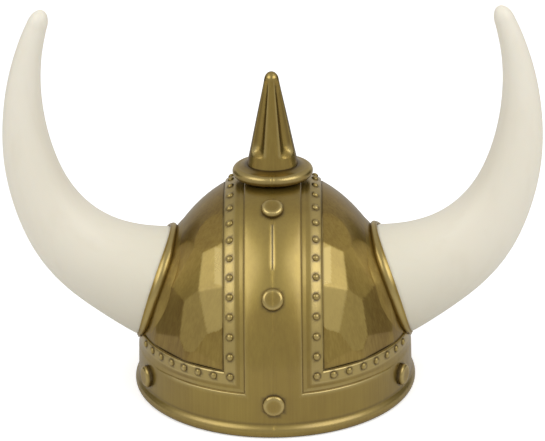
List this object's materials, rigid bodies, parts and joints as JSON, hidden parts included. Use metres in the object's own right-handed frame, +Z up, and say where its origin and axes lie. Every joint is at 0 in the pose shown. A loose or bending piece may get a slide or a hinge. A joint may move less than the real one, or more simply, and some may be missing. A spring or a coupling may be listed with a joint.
{
  "type": "horned viking helmet",
  "caption": "Domed helmet with riveted brow and crest bands, faceted skull panels, studs, a crown spike and two upswept hollow horns in round collars; open below for a head.",
  "frame": {"origin": "middle of the rim on the floor plane, which is the bottom centre of the bounding box", "axes": "+Z up through the crown spike, -Y is the front, +X runs out through the wearer's left horn"},
  "size_m": [0.3868, 0.2216, 0.2824],
  "materials": {
    "skull_gold": "satin antique gold, finely brushed",
    "band_gold": "satin antique gold, finely brushed",
    "bright_gold": "satin antique gold, worn bright on the edges",
    "ivory": "satin ivory"
  },
  "bodies": {
    "root": {"skull_shell": "skull_gold", "crest_band": "band_gold", "brow_band": "band_gold", "collar_left": "band_gold", "collar_right": "band_gold", "crown_disc": "bright_gold", "crown_spike": "bright_gold", "stud_crest_front_top": "bright_gold", "stud_crest_front_low": "bright_gold", "stud_crest_back_low": "bright_gold", "stud_crest_back_top": "bright_gold", "stud_belt_front": "bright_gold", "stud_belt_front_left": "bright_gold", "stud_belt_back_left": "bright_gold", "stud_belt_back": "bright_gold", "stud_belt_back_right": "bright_gold", "stud_belt_front_right": "bright_gold", "horn_left": "ivory", "horn_right": "ivory"}
  },
  "joints": []
}
